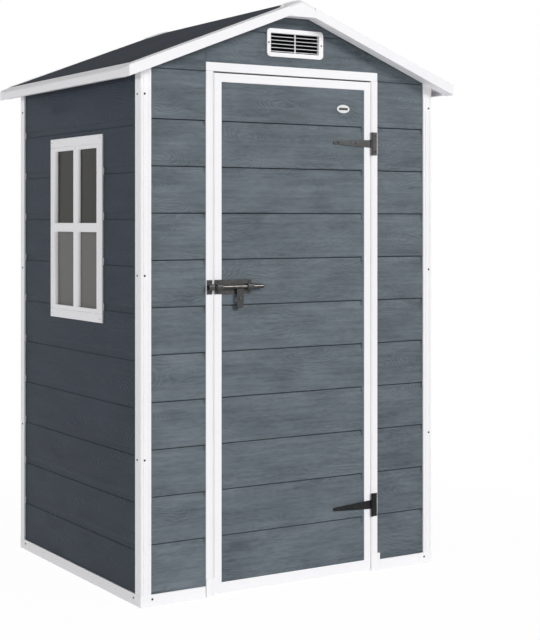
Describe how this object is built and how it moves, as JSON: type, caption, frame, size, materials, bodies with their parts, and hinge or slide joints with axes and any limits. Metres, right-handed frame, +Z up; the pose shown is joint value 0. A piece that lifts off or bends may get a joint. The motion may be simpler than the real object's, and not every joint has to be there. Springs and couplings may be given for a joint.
{
  "type": "garden shed",
  "caption": "Small gabled garden shed with board-pattern walls, a rimmed pitched roof, a hinged door with a slide bolt, a side window and a gable vent.",
  "frame": {"origin": "centre of the shed's base, on the ground", "axes": "+Z up, +X to the right as seen from the front, the door faces -Y, the window is in the -X wall"},
  "size_m": [1.295, 1.089, 1.9712],
  "materials": {
    "boards": "blue-grey moulded resin with a raised wood grain",
    "white_trim": "satin white moulded resin",
    "roof": "dark grey moulded resin with a fine texture",
    "black_metal": "black powder coat",
    "badge": "blank satin silver oval plate",
    "window_pane": "smoky clear acrylic pane",
    "floor": "grey moulded resin"
  },
  "bodies": {
    "shed": {"floor_panel": "floor", "base_rail_left": "white_trim", "base_rail_right": "white_trim", "base_rail_back": "white_trim", "base_rail_front_left": "white_trim", "base_rail_front_right": "white_trim", "door_sill": "white_trim", "corner_post_front_left": "white_trim", "corner_post_front_right": "white_trim", "corner_post_back_left": "white_trim", "corner_post_back_right": "white_trim", "front_wall_left": "boards", "front_wall_right": "boards", "front_gable": "boards", "back_wall": "boards", "left_wall": "boards", "right_wall": "boards", "door_jamb_left": "white_trim", "door_jamb_right": "white_trim", "door_header": "white_trim", "window_frame": "white_trim", "window_glass": "window_pane", "front_vent": "white_trim", "roof_panel_left": "roof", "roof_panel_right": "roof", "eave_trim_left": "white_trim", "eave_trim_right": "white_trim", "rake_trim_front_left": "white_trim", "rake_trim_front_right": "white_trim", "rake_trim_back_left": "white_trim", "rake_trim_back_right": "white_trim", "ridge_caps": "white_trim", "hinge_plate_upper": "black_metal", "hinge_plate_lower": "black_metal", "bolt_keeper": "black_metal"},
    "door": {"door_panel": "boards", "door_stile_left": "white_trim", "door_stile_right": "white_trim", "door_top_rail": "white_trim", "door_bottom_rail": "white_trim", "hinge_strap_upper": "black_metal", "hinge_strap_lower": "black_metal", "latch_plate": "black_metal", "badge_plate": "badge"},
    "bolt": {"bolt_bar": "black_metal"}
  },
  "joints": [
    {"name": "door_hinge", "type": "hinge", "parent": "shed", "child": "door", "pos_m": [0.3195, -0.4995, 0.864], "axis": [0, 0, 1], "range_deg": [0, 150]},
    {"name": "bolt_slide", "type": "slide", "parent": "door", "child": "bolt", "axis": [1, 0, 0], "range_m": [-0.051, 0]}
  ]
}
